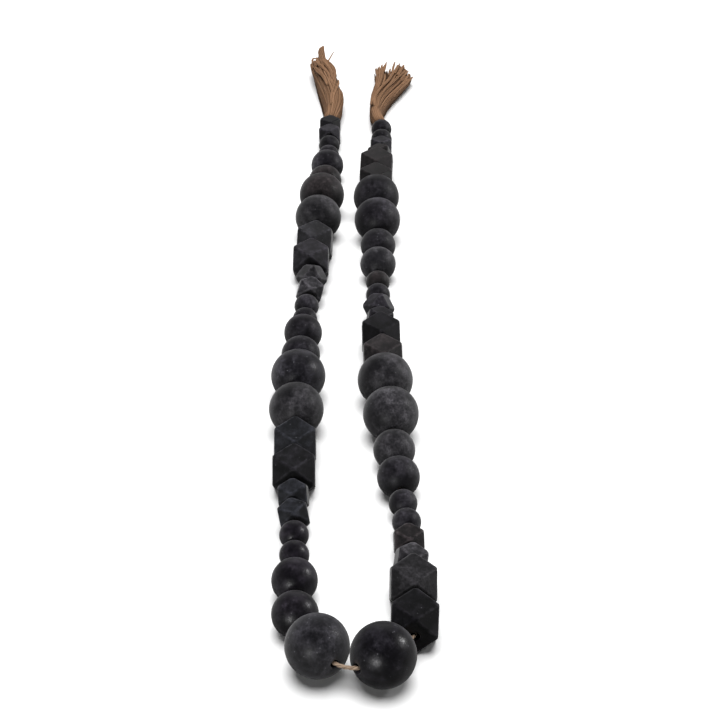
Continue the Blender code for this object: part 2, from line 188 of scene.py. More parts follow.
# Pale specks, at most one in each cell of a loose lattice.  Columns: cells a metre, their size in
# cells, the share of cells that have one, how much of the colour shows, colour.
Specks = namedtuple("Specks", "scale size share strength colour")
COARSE_SPECKS = Specks(420.0, Growing(0.17, 0.08), Growing(0.10, 0.45), 0.50, (0.12, 0.12, 0.13))
FINE_SPECKS = Specks(900.0, Growing(0.20, 0.0), Growing(0.10, 0.35), 0.35, (0.10, 0.10, 0.11))
SPECK_CORE = 0.6             # of a speck's size, inside which it is whole

MIX_INPUTS = (0, 6, 7)       # sockets of a Mix node for its factor and two colours
MIX_OUTPUT = 2               # and for the colour that it makes

# Fine relief of a surface.  Columns: strength, height.
Relief = namedtuple("Relief", "strength height")
WOOD_RELIEF = Relief(0.5, 0.00010)
WOOD_RELIEF_SHARE = 0.5      # of the streaks, and of the dusting
JUTE_RELIEF = Relief(0.6, 0.00015)

# Jute.  Columns: colour of the pale strands and of the dark ones.
Jute = namedtuple("Jute", "pale dark")
TWINE_JUTE = Jute((0.27, 0.203, 0.150), (0.080, 0.054, 0.037))
TASSEL_JUTE = Jute((0.194, 0.113, 0.067), (0.108, 0.058, 0.032))
FIBRES = Mottle(4200.0, 3.0, 0.30, 0.72)
FIBRES_DRAWN = (1.0, 0.05, 1.0)    # drawn out where this is small; Y runs along the strand
STRAND_TONES = Mottle(60.0, 1.0, 0.26, 0.66)
DARK_LENGTHS = Mottle(90.0, 2.0, 0.30, 0.75)
# Painted sheen: fine fibres drawn paler than the pale strands along each strand.
FIBRE_SHEEN_STRENGTH = 0.55
FIBRE_SHEEN_PALER = 1.35           # than the pale strands
DARK_STRENGTH = 0.35
JUTE_ROUGHNESS = 0.78
JUTE_GLOSS = 0.12
FIBRE_RANGE = 5.0            # metres of fibre that the strands are cut from
CAP_TONE = 0.8               # of a strand's cut ends
CAPS_MEET = 1e-7             # points of a strand's wall and its ends that are closer are one

# String: three plies.
STRING_RADIUS = 0.0014
PLIES = 3
PLY_SWELL = 1.14             # how much thicker a ply is than a hard one that has room
PLY_SIDES = 6
PLY_TONE = 1.0
TWIST_PITCH = 0.012
PLY_STEP = 0.0014            # between the points of a ply
BEND_STEPS = 26
BARE_PULL = 0.80             # how far the bare stretch bows out, 1 for a round arc
TURNING = (25, 26, 27, 28, 29)    # beads that the string enters and leaves at an angle
STRAIGHT = 0.44              # of a turning bead's length, each way, where the string runs straight

# Tassels.  Columns: distance from the head, middle across, half width, lowest, highest, flatness
# of the underside (0 round, 1 lying flat), sideways slide of the top, gap between the two groups.
Section = namedtuple("Section", "along middle half_width lowest highest flatness slide split")
LEFT_SECTIONS = (
    Section(-0.007, -0.0296, 0.0070, 0.0054, 0.0194, 0.0, 0.0, 0.0),
    Section(0.000, -0.0288, 0.0076, 0.0049, 0.0201, 0.0, 0.0, 0.0),
    Section(0.020, -0.0278, 0.0084, 0.0008, 0.0210, 0.6, 0.001, 0.0),
    Section(0.037, -0.0286, 0.0095, 0.0000, 0.0222, 1.0, 0.002, 0.0),
    Section(0.054, -0.0295, 0.0108, 0.0000, 0.0230, 1.0, 0.001, 0.0),
    Section(0.072, -0.0326, 0.0105, 0.0000, 0.0235, 1.0, 0.000, 0.0),
    Section(0.087, -0.0351, 0.0099, 0.0000, 0.0235, 1.0, -0.001, 0.0),
    Section(0.102, -0.0348, 0.0122, 0.0000, 0.0230, 1.0, -0.003, 0.0),
    Section(0.121, -0.0360, 0.0130, 0.0000, 0.0215, 1.0, -0.004, 0.0),
    Section(0.141, -0.0403, 0.0098, 0.0000, 0.0200, 1.0, -0.003, 0.0),
    Section(0.165, -0.0412, 0.0060, 0.0000, 0.0200, 1.0, 0.000, 0.0),
)
RIGHT_SECTIONS = (
    Section(-0.007, 0.0196, 0.0060, 0.0064, 0.0184, 0.0, 0.0, 0.0),
    Section(0.000, 0.0180, 0.0061, 0.0057, 0.0187, 0.0, 0.0, 0.0),
    Section(0.015, 0.0157, 0.0055, 0.0017, 0.0190, 0.5, 0.000, 0.0000),
    Section(0.026, 0.0163, 0.0061, 0.0000, 0.0190, 1.0, 0.000, 0.0000),
    Section(0.045, 0.0185, 0.0085, 0.0000, 0.0188, 1.0, 0.001, 0.0003),
    Section(0.063, 0.0228, 0.0106, 0.0000, 0.0180, 1.0, 0.002, 0.0008),
    Section(0.081, 0.0281, 0.0129, 0.0000, 0.0165, 1.0, 0.002, 0.0015),
    Section(0.098, 0.0324, 0.0150, 0.0000, 0.0150, 1.0, 0.002, 0.0022),
    Section(0.115, 0.0352, 0.0172, 0.0000, 0.0130, 1.0, 0.001, 0.0030),
    Section(0.150, 0.0364, 0.0184, 0.0000, 0.0100, 1.0, 0.000, 0.0036),
)
HEAD = 0.007                 # from the back of a tassel's head to its table's zero
HEAD_BACK = 0.0005           # points of a solid this close to its back end belong to the back
DOMED = 0.6                  # how far the top of a lying bundle falls off to its sides

# Locks of the tassels.  Columns: locks across and up, strands in each, how much the lengths
# differ, how wide a lock is at its root and at its tip against its place in the head, how much of
# it folds back at the tip, seed of the draws.
Tuft = namedtuple("Tuft", "across up strands spread root tip fold seed")
LEFT_TUFT = Tuft(8, 7, 9, 0.006, 0.88, 0.80, 0.020, 3)
RIGHT_TUFT = Tuft(10, 8, 9, 0.005, 0.95, 0.30, 0.0, 4)
# How long the locks are.  Columns: place across the head, from -1 to 1, and length.
LEFT_ENDS = ((-1.0, 0.128), (-0.6, 0.136), (0.0, 0.136), (0.5, 0.121), (1.0, 0.100))
RIGHT_ENDS = (
    (-1.0, 0.128),
    (-0.70, 0.132),
    (-0.45, 0.134),
    (-0.30, 0.125),
    (-0.10, 0.131),
    (0.20, 0.133),
    (0.45, 0.128),
    (0.70, 0.116),
    (1.0, 0.102),
)
SPLIT_AT = 3 / 7             # where the right tassel parts in two, left of its middle
PARTED = -0.30               # the locks below this height in the head don't part
# The low locks' tone is painted shade, darker as if the locks above shaded them.
LOW_LOCKS_PAINTED_SHADE = 0.50                # tone of those locks against the others
LOOSE = 1.25                 # and how wide they are against their place in the head
PARTING = 1.15               # how much wider the others part than their solid
LOCK_STRAY = 0.2             # how far a lock may be off its place, in places
LOCK_SWAY = (0.03, 0.09)     # how far a lock sways at its tip, least and most
LOCK_TONE = (0.86, 1.10)     # a lock's tone, least and most
SWAY_ACROSS = 5.0            # radians that the sway across goes through from root to tip
SWAY_UP = 4.0                # and the sway up
LOCK_NARROWS = 4             # its width goes from root to tip with this power of the way along
LOCK_TWIST = 2.0             # radians from root to tip
STRAND_SIDES = 4
STRAND_POINTS = 20
STRAND_RADIUS = 0.00062
STRAND_STRAY = 0.3           # how far a strand may be off its place round its lock, in radians
STRAND_REACH = (0.35, 1.0)   # from the lock's middle (0) to its outside (1), least and most
STRAND_SPREAD = 0.4          # of the spread of the locks' lengths
TIP_CROWDING = 1.25          # above 1, a strand's points lie closer together towards its tip
STRAND_THINS = 3             # it thins with this power of the way along
# Painted shade: a strand darkens towards the outside of its lock, so the grooves between locks look
# shaded.
OUTSIDE_PAINTED_SHADE = 3             # it darkens with this power of its reach from the middle
FOLD_RISE = 25.0             # how fast a folded end climbs over its lock, in heads a metre
SIDE_MOST = 0.97             # strands stay inside these parts of the head's width and height
LOW_MOST = 0.93
HIGH_MOST = 0.99

# How a strand changes.  Columns: thickness at the root and how much less it is at the tip, tone in
# the middle of the lock or wisp and how much less it is outside, which is painted shade between
# them.
Strand = namedtuple("Strand", "thick thinner tone darker")
LOCK_STRAND = Strand(1.15, 0.55, 1.06, 0.22)
WISP_STRAND = Strand(0.85, 0.25, 1.04, 0.20)

# Wisps that lie over the locks.  Columns: half width, strands, tone, then points on their way,
# each the distance from the head, the place across and the height.
Wisp = namedtuple("Wisp", "width strands tone points")
LEFT_WISPS = (
    # The tuft at the tip.
    Wisp(0.0039, 34, 1.12, (
        (0.094, -0.0370, 0.0200), (0.120, -0.0395, 0.0202), (0.138, -0.0414, 0.0197),
        (0.152, -0.0420, 0.0191), (0.164, -0.0402, 0.0187))),
    # The small curl at the left of the tip, and the strand that stands off at the right.
    Wisp(0.0008, 7, 1.0, (
        (0.112, -0.0478, 0.0150), (0.128, -0.0494, 0.0130), (0.140, -0.0516, 0.0120),
        (0.147, -0.0504, 0.0120), (0.146, -0.0474, 0.0120), (0.139, -0.0460, 0.0125),
        (0.126, -0.0466, 0.0140))),
    Wisp(0.0005, 7, 1.0, (
        (0.115, -0.0370, 0.0170), (0.135, -0.0345, 0.0140), (0.150, -0.0322, 0.0120),
        (0.166, -0.0288, 0.0115))),
    # Slanting folds on the upper half.
    Wisp(0.0020, 18, 1.16, (
        (0.126, -0.0475, 0.0185), (0.110, -0.0430, 0.0216), (0.097, -0.0383, 0.0232),
        (0.084, -0.0333, 0.0236), (0.066, -0.0308, 0.0228))),
    Wisp(0.0018, 17, 1.04, (
        (0.135, -0.0432, 0.0190), (0.118, -0.0395, 0.0220), (0.104, -0.0352, 0.0231),
        (0.091, -0.0312, 0.0232), (0.074, -0.0286, 0.0222))),
    Wisp(0.0017, 16, 1.14, (
        (0.129, -0.0398, 0.0203), (0.114, -0.0365, 0.0226), (0.100, -0.0325, 0.0231),
        (0.086, -0.0285, 0.0228))),
    Wisp(0.0022, 20, 1.10, (
        (0.118, -0.0488, 0.0155), (0.104, -0.0463, 0.0200), (0.090, -0.0428, 0.0226),
        (0.076, -0.0378, 0.0234), (0.058, -0.0338, 0.0228))),
    Wisp(0.0025, 22, 1.10, (
        (0.134, -0.0378, 0.0175), (0.120, -0.0338, 0.0195), (0.104, -0.0290, 0.0210),
        (0.088, -0.0271, 0.0218), (0.070, -0.0278, 0.0222))),
    # Folds that meet in a V, and the bulge beside them.
    Wisp(0.0011, 8, 1.12, (
        (0.084, -0.0262, 0.0200), (0.066, -0.0262, 0.0226), (0.050, -0.0280, 0.0229),
        (0.034, -0.0296, 0.0220), (0.018, -0.0296, 0.0205))),
    Wisp(0.0011, 8, 1.12, (
        (0.080, -0.0228, 0.0180), (0.064, -0.0226, 0.0213), (0.050, -0.0246, 0.0225),
        (0.036, -0.0272, 0.0220), (0.020, -0.0282, 0.0208))),
    Wisp(0.0017, 10, 1.0, (
        (0.070, -0.0212, 0.0120), (0.052, -0.0196, 0.0160), (0.036, -0.0204, 0.0180),
        (0.018, -0.0226, 0.0176), (0.004, -0.0246, 0.0162))),
)
RIGHT_WISPS = (
    # Strands that sweep over the fan.
    Wisp(0.0016, 12, 1.08, (
        (0.022, 0.0140, 0.0186), (0.044, 0.0158, 0.0196), (0.064, 0.0215, 0.0193),
        (0.084, 0.0290, 0.0180), (0.108, 0.0350, 0.0158), (0.128, 0.0402, 0.0130))),
    Wisp(0.0015, 12, 0.96, (
        (0.018, 0.0170, 0.0186), (0.040, 0.0198, 0.0194), (0.060, 0.0255, 0.0189),
        (0.080, 0.0335, 0.0176), (0.100, 0.0410, 0.0152), (0.117, 0.0466, 0.0120))),
    # The smaller group at the left.
    Wisp(0.0016, 14, 0.98, (
        (0.026, 0.0105, 0.0182), (0.045, 0.0124, 0.0186), (0.068, 0.0156, 0.0180),
        (0.090, 0.0174, 0.0166), (0.124, 0.0168, 0.0126))),
    Wisp(0.0015, 13, 1.06, (
        (0.030, 0.0118, 0.0188), (0.048, 0.0140, 0.0190), (0.070, 0.0176, 0.0184),
        (0.092, 0.0198, 0.0168), (0.127, 0.0203, 0.0132))),
    Wisp(0.0014, 12, 1.00, (
        (0.026, 0.0128, 0.0184), (0.050, 0.0155, 0.0194), (0.072, 0.0196, 0.0186),
        (0.094, 0.0222, 0.0170), (0.118, 0.0240, 0.0146), (0.134, 0.0262, 0.0122))),
    # The points of the locks along the edge of the fan.
    Wisp(0.0009, 7, 1.00, ((0.104, 0.0168, 0.0150), (0.1290, 0.0165, 0.0102))),
    Wisp(0.0008, 6, 1.06, ((0.104, 0.0186, 0.0152), (0.1305, 0.0188, 0.0110))),
    Wisp(0.0010, 8, 1.00, ((0.106, 0.0216, 0.0154), (0.1355, 0.0232, 0.0118))),
    Wisp(0.0009, 7, 1.08, ((0.110, 0.0248, 0.0152), (0.1415, 0.0279, 0.0118))),
    Wisp(0.0010, 8, 0.94, ((0.100, 0.0298, 0.0154), (0.1250, 0.0318, 0.0118))),
    Wisp(0.0011, 9, 1.04, ((0.108, 0.0330, 0.0152), (0.1425, 0.0371, 0.0118))),
    Wisp(0.0011, 9, 1.00, ((0.106, 0.0362, 0.0150), (0.1378, 0.0421, 0.0118))),
    Wisp(0.0018, 14, 1.10, ((0.102, 0.0388, 0.0150), (0.1340, 0.0466, 0.0120))),
    Wisp(0.0009, 7, 0.98, ((0.098, 0.0408, 0.0144), (0.1240, 0.0486, 0.0110))),
    Wisp(0.0009, 7, 1.05, ((0.094, 0.0418, 0.0140), (0.1230, 0.0512, 0.0100))),
    Wisp(0.0009, 7, 0.98, ((0.088, 0.0412, 0.0138), (0.1170, 0.0528, 0.0092))),
    Wisp(0.0010, 8, 1.02, ((0.084, 0.0426, 0.0128), (0.1120, 0.0556, 0.0084))),
)
WISP_POINTS = 18
WISP_ANGLE = 2.4             # radians round the wisp from one strand to the next
WISP_ROOT = 0.4              # of its width
WISP_OPENS = 2.0             # how fast it reaches its whole width, in widths over its length
WISP_CLOSES = 0.85           # how much narrower its tip is
WISP_CLOSES_LATE = 5         # it closes with this power of the way along
WISP_TWIST = 1.5             # radians from root to tip
WISP_FLATNESS = 0.6          # its height against its width

Tassel = namedtuple("Tassel", "sections tuft ends wisps")
TASSELS = {
    "tassel_left": Tassel(LEFT_SECTIONS, LEFT_TUFT, LEFT_ENDS, LEFT_WISPS),
    "tassel_right": Tassel(RIGHT_SECTIONS, RIGHT_TUFT, RIGHT_ENDS, RIGHT_WISPS),
}

# Studio.  Columns: direction from the garland, distance, width, power in watts.
Softbox = namedtuple("Softbox", "toward distance width power")
SOFTBOXES = {
    "right_softbox": Softbox((0.85, 0.23, 0.47), 2.6, 0.40, 17.0),
    "front_softbox": Softbox((-0.36, -0.92, 0.27), 2.6, 0.50, 15.0),
    "rear_softbox": Softbox((0.05, 0.90, 0.42), 2.8, 1.80, 3.6),
}
# The light from above is as bright everywhere on the floor, and the beads don't mirror it.
OVERHEAD_TOWARD = (0.0, 0.15, 1.0)
OVERHEAD_DISTANCE = 3.0
OVERHEAD = 6.7               # watts a square metre
OVERHEAD_SPREAD = 0.93       # radians
WHITE = (1.0, 1.0, 1.0)
SURROUNDINGS = 0.95          # brightness of the white surroundings; they are seen but light nothing
FLOOR = (0.66, 0.66, 0.66)
FLOOR_ROUGHNESS = 0.9
FLOOR_REACH = 30.0


def camera(bend_ball):
    """The photograph's view, from in front of the bend."""
    data = bpy.data.cameras.new("camera")
    data.lens = LENS
    made = bpy.data.objects.new("camera", data)
    bpy.context.scene.collection.objects.link(made)
    made.location = (bend_ball.x + EYE_RIGHT, bend_ball.y - EYE_FRONT, EYE_HEIGHT)
    made.rotation_euler = (math.radians(90 - PITCH), 0.0, 0.0)
    bpy.context.scene.camera = made


def mesh_from(name, bm):
    """A mesh from a bmesh, which is freed."""
    mesh = bpy.data.meshes.new(name)
    bm.to_mesh(mesh)
    bm.free()
    return mesh


def dressed(name, mesh, node, material):
    """A piece with its material, which stands for a solid of the frame and rides with it."""
    thing = bpy.data.objects.new(name, mesh)
    bpy.context.scene.collection.objects.link(thing)
    mesh.materials.append(material)
    mesh.shade_smooth()
    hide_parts(node)
    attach(thing, "root")


def bead_nodes():
    """The names of the beads' solids by their number."""
    return {int(name.split("_")[1]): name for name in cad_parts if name.startswith("bead_")}


def kind_of(node):
    """The kind of a bead, with its own size."""
    number, name = node.split("_", 2)[1:]
    kind = KINDS[name]
    if int(number) in OWN_SIZES:
        own = OWN_SIZES[int(number)]
        kind = kind._replace(width=own.width, length=own.width, hole=own.hole)
    return kind


def box_middle(node):
    """The middle of a solid's box."""
    low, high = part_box(node)
    return (Vector(low) + Vector(high)) / 2


def string_ways(middles, nodes):
    """The way the string runs through every bead, from the left tassel to the right one."""
    last = max(middles)
    ways = {}
    for bead in middles:
        way = middles[min(bead + 1, last)] - middles[max(bead - 1, 1)]
        if bead in BEND_HEADINGS:
            heading = math.radians(BEND_HEADINGS[bead])
            slope = way.z / way.xy.length
            way = Vector((math.cos(heading), math.sin(heading), slope))
        if nodes[bead].endswith("large_faceted"):
            way.z *= LEVELLING
        way.rotate(Quaternion(UP, math.radians(slip_of(bead).yaw)))
        ways[bead] = way.normalized()
    return ways


def slip_of(bead):
    """How far a bead has slipped round."""
    return SLIPS.get(bead, Slip(0, 0))


def turned(way, roll):
    """The turn that lays a bead's hole along the string."""
    return way.to_track_quat("X", "Z") @ Quaternion((1, 0, 0), math.radians(roll))


def true_middle(node, turn):
    """The middle of a bead whose underside is cut flat, from its top and its whole sides."""
    kind = kind_of(node)
    if kind.shape == "round":
        middle = box_middle(node)
        middle.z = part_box(node)[1][2] - kind.width / 2
        return middle
    points = [turn.inverted() @ vert.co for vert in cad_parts[node].data.vertices]
    up = turn.inverted() @ UP
    middle = Vector()
    for axis, width in enumerate((kind.length, kind.width, kind.width)):
        values = [point[axis] for point in points]
        if up[axis] > 0:
            middle[axis] = max(values) - width / 2
        else:
            middle[axis] = min(values) + width / 2
    return turn @ middle


def eased_mouth(radius):
    """The rounded mouth of a hole: how far in each of its rings lies, and the ring's radius."""
    rings = []
    for i in range(1, EASED_STEPS + 1):
        angle = math.pi / 2 * i / EASED_STEPS
        rings.append((EASING * (1 - math.cos(angle)), radius + EASING * (1 - math.sin(angle))))
    return rings


def ball(kind):
    """A ball turned round its hole, which runs along X."""
    radius = kind.width / 2
    mouth = math.asin((kind.hole / 2 + EASING) / radius)
    steps = round(radius * (math.pi - 2 * mouth) / BALL_SPACING)
    outline = []
    for i in range(steps + 1):
        angle = mouth + (math.pi - 2 * mouth) * i / steps
        outline.append((-radius * math.cos(angle), radius * math.sin(angle)))
    end = outline[-1][0]
    eased = [(end - deep, r) for deep, r in eased_mouth(kind.hole / 2)]
    outline += eased
    outline += [(0.0, kind.hole / 2)]
    outline += [(-x, r) for x, r in reversed(eased)]
    bm = bmesh.new()
    ring = [bm.verts.new((x, 0.0, r)) for x, r in outline]
    edges = [bm.edges.new((a, b)) for a, b in zip(ring, ring[1:] + ring[:1])]
    bmesh.ops.spin(bm, geom=ring + edges, cent=(0, 0, 0), axis=(1, 0, 0), angle=2 * math.pi,
                   steps=round(2 * math.pi * radius / BALL_SPACING), use_merge=True)
    bmesh.ops.recalc_face_normals(bm, faces=bm.faces)
    wear = bm.verts.layers.float.new("wear")
    for vert in bm.verts:
        vert[wear] = 1.0 if vert.co.length < radius - MOUTH_DEPTH else 0.0
    return bm


def faceted(kind):
    """A cube with its corners sawn off at the middles of its edges, worn, and drilled along X."""
    bm = bmesh.new()
    bmesh.ops.create_cube(bm, size=kind.width)
    bmesh.ops.bevel(bm, geom=bm.verts[:], offset=kind.width / 2, affect="VERTICES",
                    offset_type="OFFSET", segments=1, profile=0.5, material=-1)
    bmesh.ops.remove_doubles(bm, verts=bm.verts, dist=CORNERS_MEET)
    bmesh.ops.scale(bm, vec=(kind.length / kind.width, 1, 1), verts=bm.verts)
    bmesh.ops.bevel(bm, geom=bm.verts[:], offset=BLUNT, affect="VERTICES", offset_type="OFFSET",
                    segments=1, profile=0.5, material=-1)
    bmesh.ops.bevel(bm, geom=bm.edges[:], offset=WORN_EDGE, affect="EDGES", offset_type="OFFSET",
                    segments=EDGE_STEPS, profile=0.5, material=-1)
    wear = bm.verts.layers.float.new("wear")
    for vert in bm.verts:
        vert[wear] = 1.0
    facets = [face for face in bm.faces if face.calc_area() > (kind.width * TRUE_FACET)**2]
    for i, ring in enumerate(WEAR_RINGS):
        bmesh.ops.inset_individual(bm, faces=facets, thickness=ring)
        for face in facets:
            for vert in face.verts:
                vert[wear] = 1.0 - (i + 1) / len(WEAR_RINGS)
    ends = [face for face in facets if abs(face.normal.x) > FACES_ALONG]
    mouths = []
    for face in ends:
        mouths += drill_mouth(bm, face, kind.hole / 2, wear)
    bmesh.ops.bridge_loops(bm, edges=mouths)
    bmesh.ops.recalc_face_normals(bm, faces=bm.faces)
    return bm


def drill_mouth(bm, face, radius, wear):
    """Open a round hole with an eased edge in a facet; returns the edges of its inner ring."""
    bmesh.ops.inset_individual(bm, faces=[face], thickness=radius * MOUTH_INSET)
    bmesh.ops.subdivide_edges(bm, edges=face.edges[:], cuts=MOUTH_CUTS)
    side = math.copysign(1.0, face.normal.x)
    x = face.verts[0].co.x
    for vert in face.verts:
        flat = Vector((0.0, vert.co.y, vert.co.z)).normalized() * (radius + EASING)
        vert.co = Vector((x, flat.y, flat.z))
    for deep, ring_radius in eased_mouth(radius):
        face = bmesh.ops.extrude_discrete_faces(bm, faces=[face])["faces"][0]
        for vert in face.verts:
            flat = Vector((0.0, vert.co.y, vert.co.z)).normalized() * ring_radius
            vert.co = Vector((x - side * deep, flat.y, flat.z))
            vert[wear] = 1.0
    edges = face.edges[:]
    bmesh.ops.delete(bm, geom=[face], context="FACES_ONLY")
    return edges


def lay_beads(nodes, middles, ways, woods):
    """Every bead in its place, a little uneven and flat where it rests, with a grain of its own and
    a tone of its own that is partly painted shade."""
    shapes = {}
    for bead, node in sorted(nodes.items()):
        kind = kind_of(node)
        if kind not in shapes:
            shapes[kind] = ball(kind) if kind.shape == "round" else faceted(kind)
        chance = random.Random(bead)
        bm = shapes[kind].copy()
        grain = bm.verts.layers.float_vector.new("grain")
        # The bead's lightness, partly its own tone and partly painted shade, goes into this
        # attribute.
        shade = bm.verts.layers.float.new("shade")
        offset = Vector([chance.uniform(0, GRAIN_RANGE) for _ in range(3)])
        turn = turned(ways[bead], slip_of(bead).roll)
        own_tone_and_painted_shade = tone_and_painted_shade_of(bead)
        for vert in bm.verts:
            vert[grain] = vert.co + offset
            vert[shade] = own_tone_and_painted_shade
            lump = noise.noise(vert.co / UNEVEN_PITCH + offset)
            vert.co += vert.co.normalized() * lump * UNEVEN
            vert.co = middles[bead] + turn @ vert.co
            vert.co.z = max(vert.co.z, 0.0)
        bm.normal_update()
        name = node.replace("bead", "wood")
        dressed(name, mesh_from(name, bm), node, woods[finish_of(bead)])
    for bm in shapes.values():
        bm.free()


def finish_of(bead):
    """The name of a bead's finish."""
    for name, beads in FINISH_OF.items():
        if bead in beads:
            return name
    return "charcoal"


def tone_and_painted_shade_of(bead):
    """How light a bead is against the rest of its finish: its own tone, partly painted shade."""
    for shade, beads in TONE_AND_PAINTED_SHADE_OF.items():
        if bead in beads:
            return shade
    return 1.0


def string_route(nodes, middles, ways):
    """The line of the string: straight through most beads, bowed on the bare stretch."""
    last = max(middles)
    route = [middles[1] - ways[1] * kind_of(nodes[1]).length / 2]
    for bead in range(1, last + 1):
        if bead in TURNING:
            straight = ways[bead] * kind_of(nodes[bead]).length * STRAIGHT
            route += [middles[bead] - straight, middles[bead] + straight]
        else:
            route.append(middles[bead])
        if bead == LAST_LEFT:
            way = ways[bead + 1]
            arrive = middles[bead + 1] - way * kind_of(nodes[bead + 1]).length * STRAIGHT
            route += bare_stretch(route[-1], ways[bead], arrive, way)
    route.append(middles[last] + ways[last] * kind_of(nodes[last]).length / 2)
    return route


def bare_stretch(leave, way_out, arrive, way_in):
    """Points of the bow between the two beads of the bend."""
    pull = (arrive - leave).length * BARE_PULL
    steps = range(1, BEND_STEPS)
    return [hermite(leave, way_out * pull, arrive, way_in * pull, i / BEND_STEPS) for i in steps]


def hermite(start, leaving, end, arriving, t):
    """A cubic from start to end with the two slopes."""
    return (
        start * (2 * t**3 - 3 * t**2 + 1)
        + leaving * (t**3 - 2 * t**2 + t)
        + end * (3 * t**2 - 2 * t**3)
        + arriving * (t**3 - t**2)
    )


def evenly(route, step):
    """Points at equal steps along a line, each with the way the line runs there."""
    points = []
    left = 0.0
    for start, end in zip(route, route[1:]):
        way = (end - start).normalized()
        length = (end - start).length
        while left <= length:
            points.append((start + way * left, way))
            left += step
        left -= length
    return points


def lay_string(nodes, middles, ways, material):
    """Three plies twisted round each other along the whole string."""
    line = evenly(string_route(nodes, middles, ways), PLY_STEP)
    # Three equal circles just fit in the string's section at this radius, before they swell.
    ply_radius = STRING_RADIUS / (1 + 2 / math.sqrt(3)) * PLY_SWELL
    plies = []
    for ply in range(PLIES):
        points = []
        for i, (place, way) in enumerate(line):
            side = way.cross(UP).normalized()
            up = side.cross(way)
            angle = 2 * math.pi * (ply / PLIES + i * PLY_STEP / TWIST_PITCH)
            out = side * math.cos(angle) + up * math.sin(angle)
            points.append((place + out * (STRING_RADIUS - ply_radius), ply_radius))
        plies.append((PLY_TONE, points))
    dressed("twine", tubes("twine", plies, PLY_SIDES), "string", material)


def tubes(name, strands, sides):
    """One mesh of round strands.  A strand is its tone and its points, each a place and a radius.

    The attribute "fibre" holds where each surface point was before its strand was bent, and "tone"
    the tone of its strand, which on the tassels holds painted shade."""
    curve = bpy.data.curves.new(name, "CURVE")
    curve.dimensions = "3D"
    curve.bevel_depth = 1.0
    curve.bevel_resolution = sides // 2 - 2    # a round bevel has 2 (resolution + 2) sides
    curve.use_fill_caps = True
    for tone, points in strands:
        line = curve.splines.new("POLY")
        line.points.add(len(points) - 1)
        for point, (place, radius) in zip(line.points, points):
            point.co = (*place, 1.0)
            point.radius = radius
    guide = bpy.data.objects.new(name, curve)
    bpy.context.scene.collection.objects.link(guide)
    bpy.context.view_layer.update()
    depsgraph = bpy.context.evaluated_depsgraph_get()
    mesh = bpy.data.meshes.new_from_object(guide.evaluated_get(depsgraph))
    bpy.data.objects.remove(guide)
    mesh.name = name
    # Both are made before either is used, because the second moves the first.
    mesh.attributes.new("fibre", "FLOAT_VECTOR", "POINT")
    mesh.attributes.new("tone", "FLOAT", "POINT")
    fibre = mesh.attributes["fibre"]
    toned = mesh.attributes["tone"]
    # The mesh has the points of all cut ends first, and then the rings of one strand after another.
    index = 2 * sides * len(strands)
    for i in range(index):
        toned.data[i].value = CAP_TONE
    chance = random.Random(len(strands))
    for tone, points in strands:
        offset = Vector([chance.uniform(0, FIBRE_RANGE) for _ in range(3)])
        along = 0.0
        before = points[0][0]
        for place, radius in points:
            along += (place - before).length
            before = place
            for k in range(sides):
                angle = 2 * math.pi * k / sides
                around = Vector((math.cos(angle) * radius, along, math.sin(angle) * radius))
                fibre.data[index].vector = around + offset
                toned.data[index].value = tone
                index += 1
    bm = bmesh.new()
    bm.from_mesh(mesh)
    bmesh.ops.remove_doubles(bm, verts=bm.verts, dist=CAPS_MEET)
    bm.to_mesh(mesh)
    bm.free()
    return mesh


def row_at(rows, place):
    """Every column of a table at a place between its rows, on a smooth curve through them."""
    last = len(rows) - 2
    row = 0
    while row < last and place > rows[row + 1][0]:
        row += 1
    start, end = rows[row], rows[row + 1]
    before, after = rows[max(row - 1, 0)], rows[min(row + 2, last + 1)]
    span = end[0] - start[0]
    t = (place - start[0]) / span
    values = []
    for p, q, r, s in zip(before, start, end, after):
        leaving = (r - p) / (end[0] - before[0]) * span
        arriving = (s - q) / (after[0] - start[0]) * span
        values.append(hermite(q, leaving, r, arriving, t))
    return values


# Where a tassel lies: its table, and how far up Y and across X the table's zero is in the frame.
Lie = namedtuple("Lie", "sections base shift")
# A lock, by its place in the head, and how it lies.
# A lock's tone holds painted shade for the low locks.
Lock = namedtuple("Lock", "a b length side wave sway tone root tip")


def lay_tassel(node, tassel, material):
    """A tassel of loose locks, with wisps over them."""
    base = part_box(node)[0][1] + HEAD
    lie = Lie(tassel.sections, base, frame_shift(node, tassel.sections))
    tuft = tassel.tuft
    chance = random.Random(tuft.seed)
    strands = []
    for column in range(tuft.across):
        for row in range(tuft.up):
            lock = new_lock(tuft, tassel.ends, column, row, chance)
            for strand in range(tuft.strands):
                strands.append(lock_strand(lie, tuft, lock, strand, chance))
    for wisp in tassel.wisps:
        strands += wisp_strands(lie, wisp)
    name = node.replace("tassel", "jute")
    dressed(name, tubes(name, strands, STRAND_SIDES), node, material)


def frame_shift(node, sections):
    """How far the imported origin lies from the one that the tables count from."""
    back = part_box(node)[0][1]
    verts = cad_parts[node].data.vertices
    points = [vert.co.x for vert in verts if vert.co.y < back + HEAD_BACK]
    return (min(points) + max(points)) / 2 - sections[0].middle


def tassel_place(lie, a, b, along, side):
    """Where a point of a tassel lies: a and b run from -1 to 1 across the head and up."""
    at = Section(*row_at(lie.sections, along))
    round_x = a * math.sqrt(1 - b * b / 2)
    round_z = b * math.sqrt(1 - a * a / 2)
    flat_z = (b + 1) * math.sqrt(1 - DOMED * a * a) - 1
    x = round_x + (a - round_x) * at.flatness
    z = round_z + (flat_z - round_z) * at.flatness
    across = lie.shift + at.middle + at.half_width * x + at.slide * (b + 1) / 2 + at.split * side
    return Vector((across, lie.base + along, at.lowest + (at.highest - at.lowest) * (z + 1) / 2))


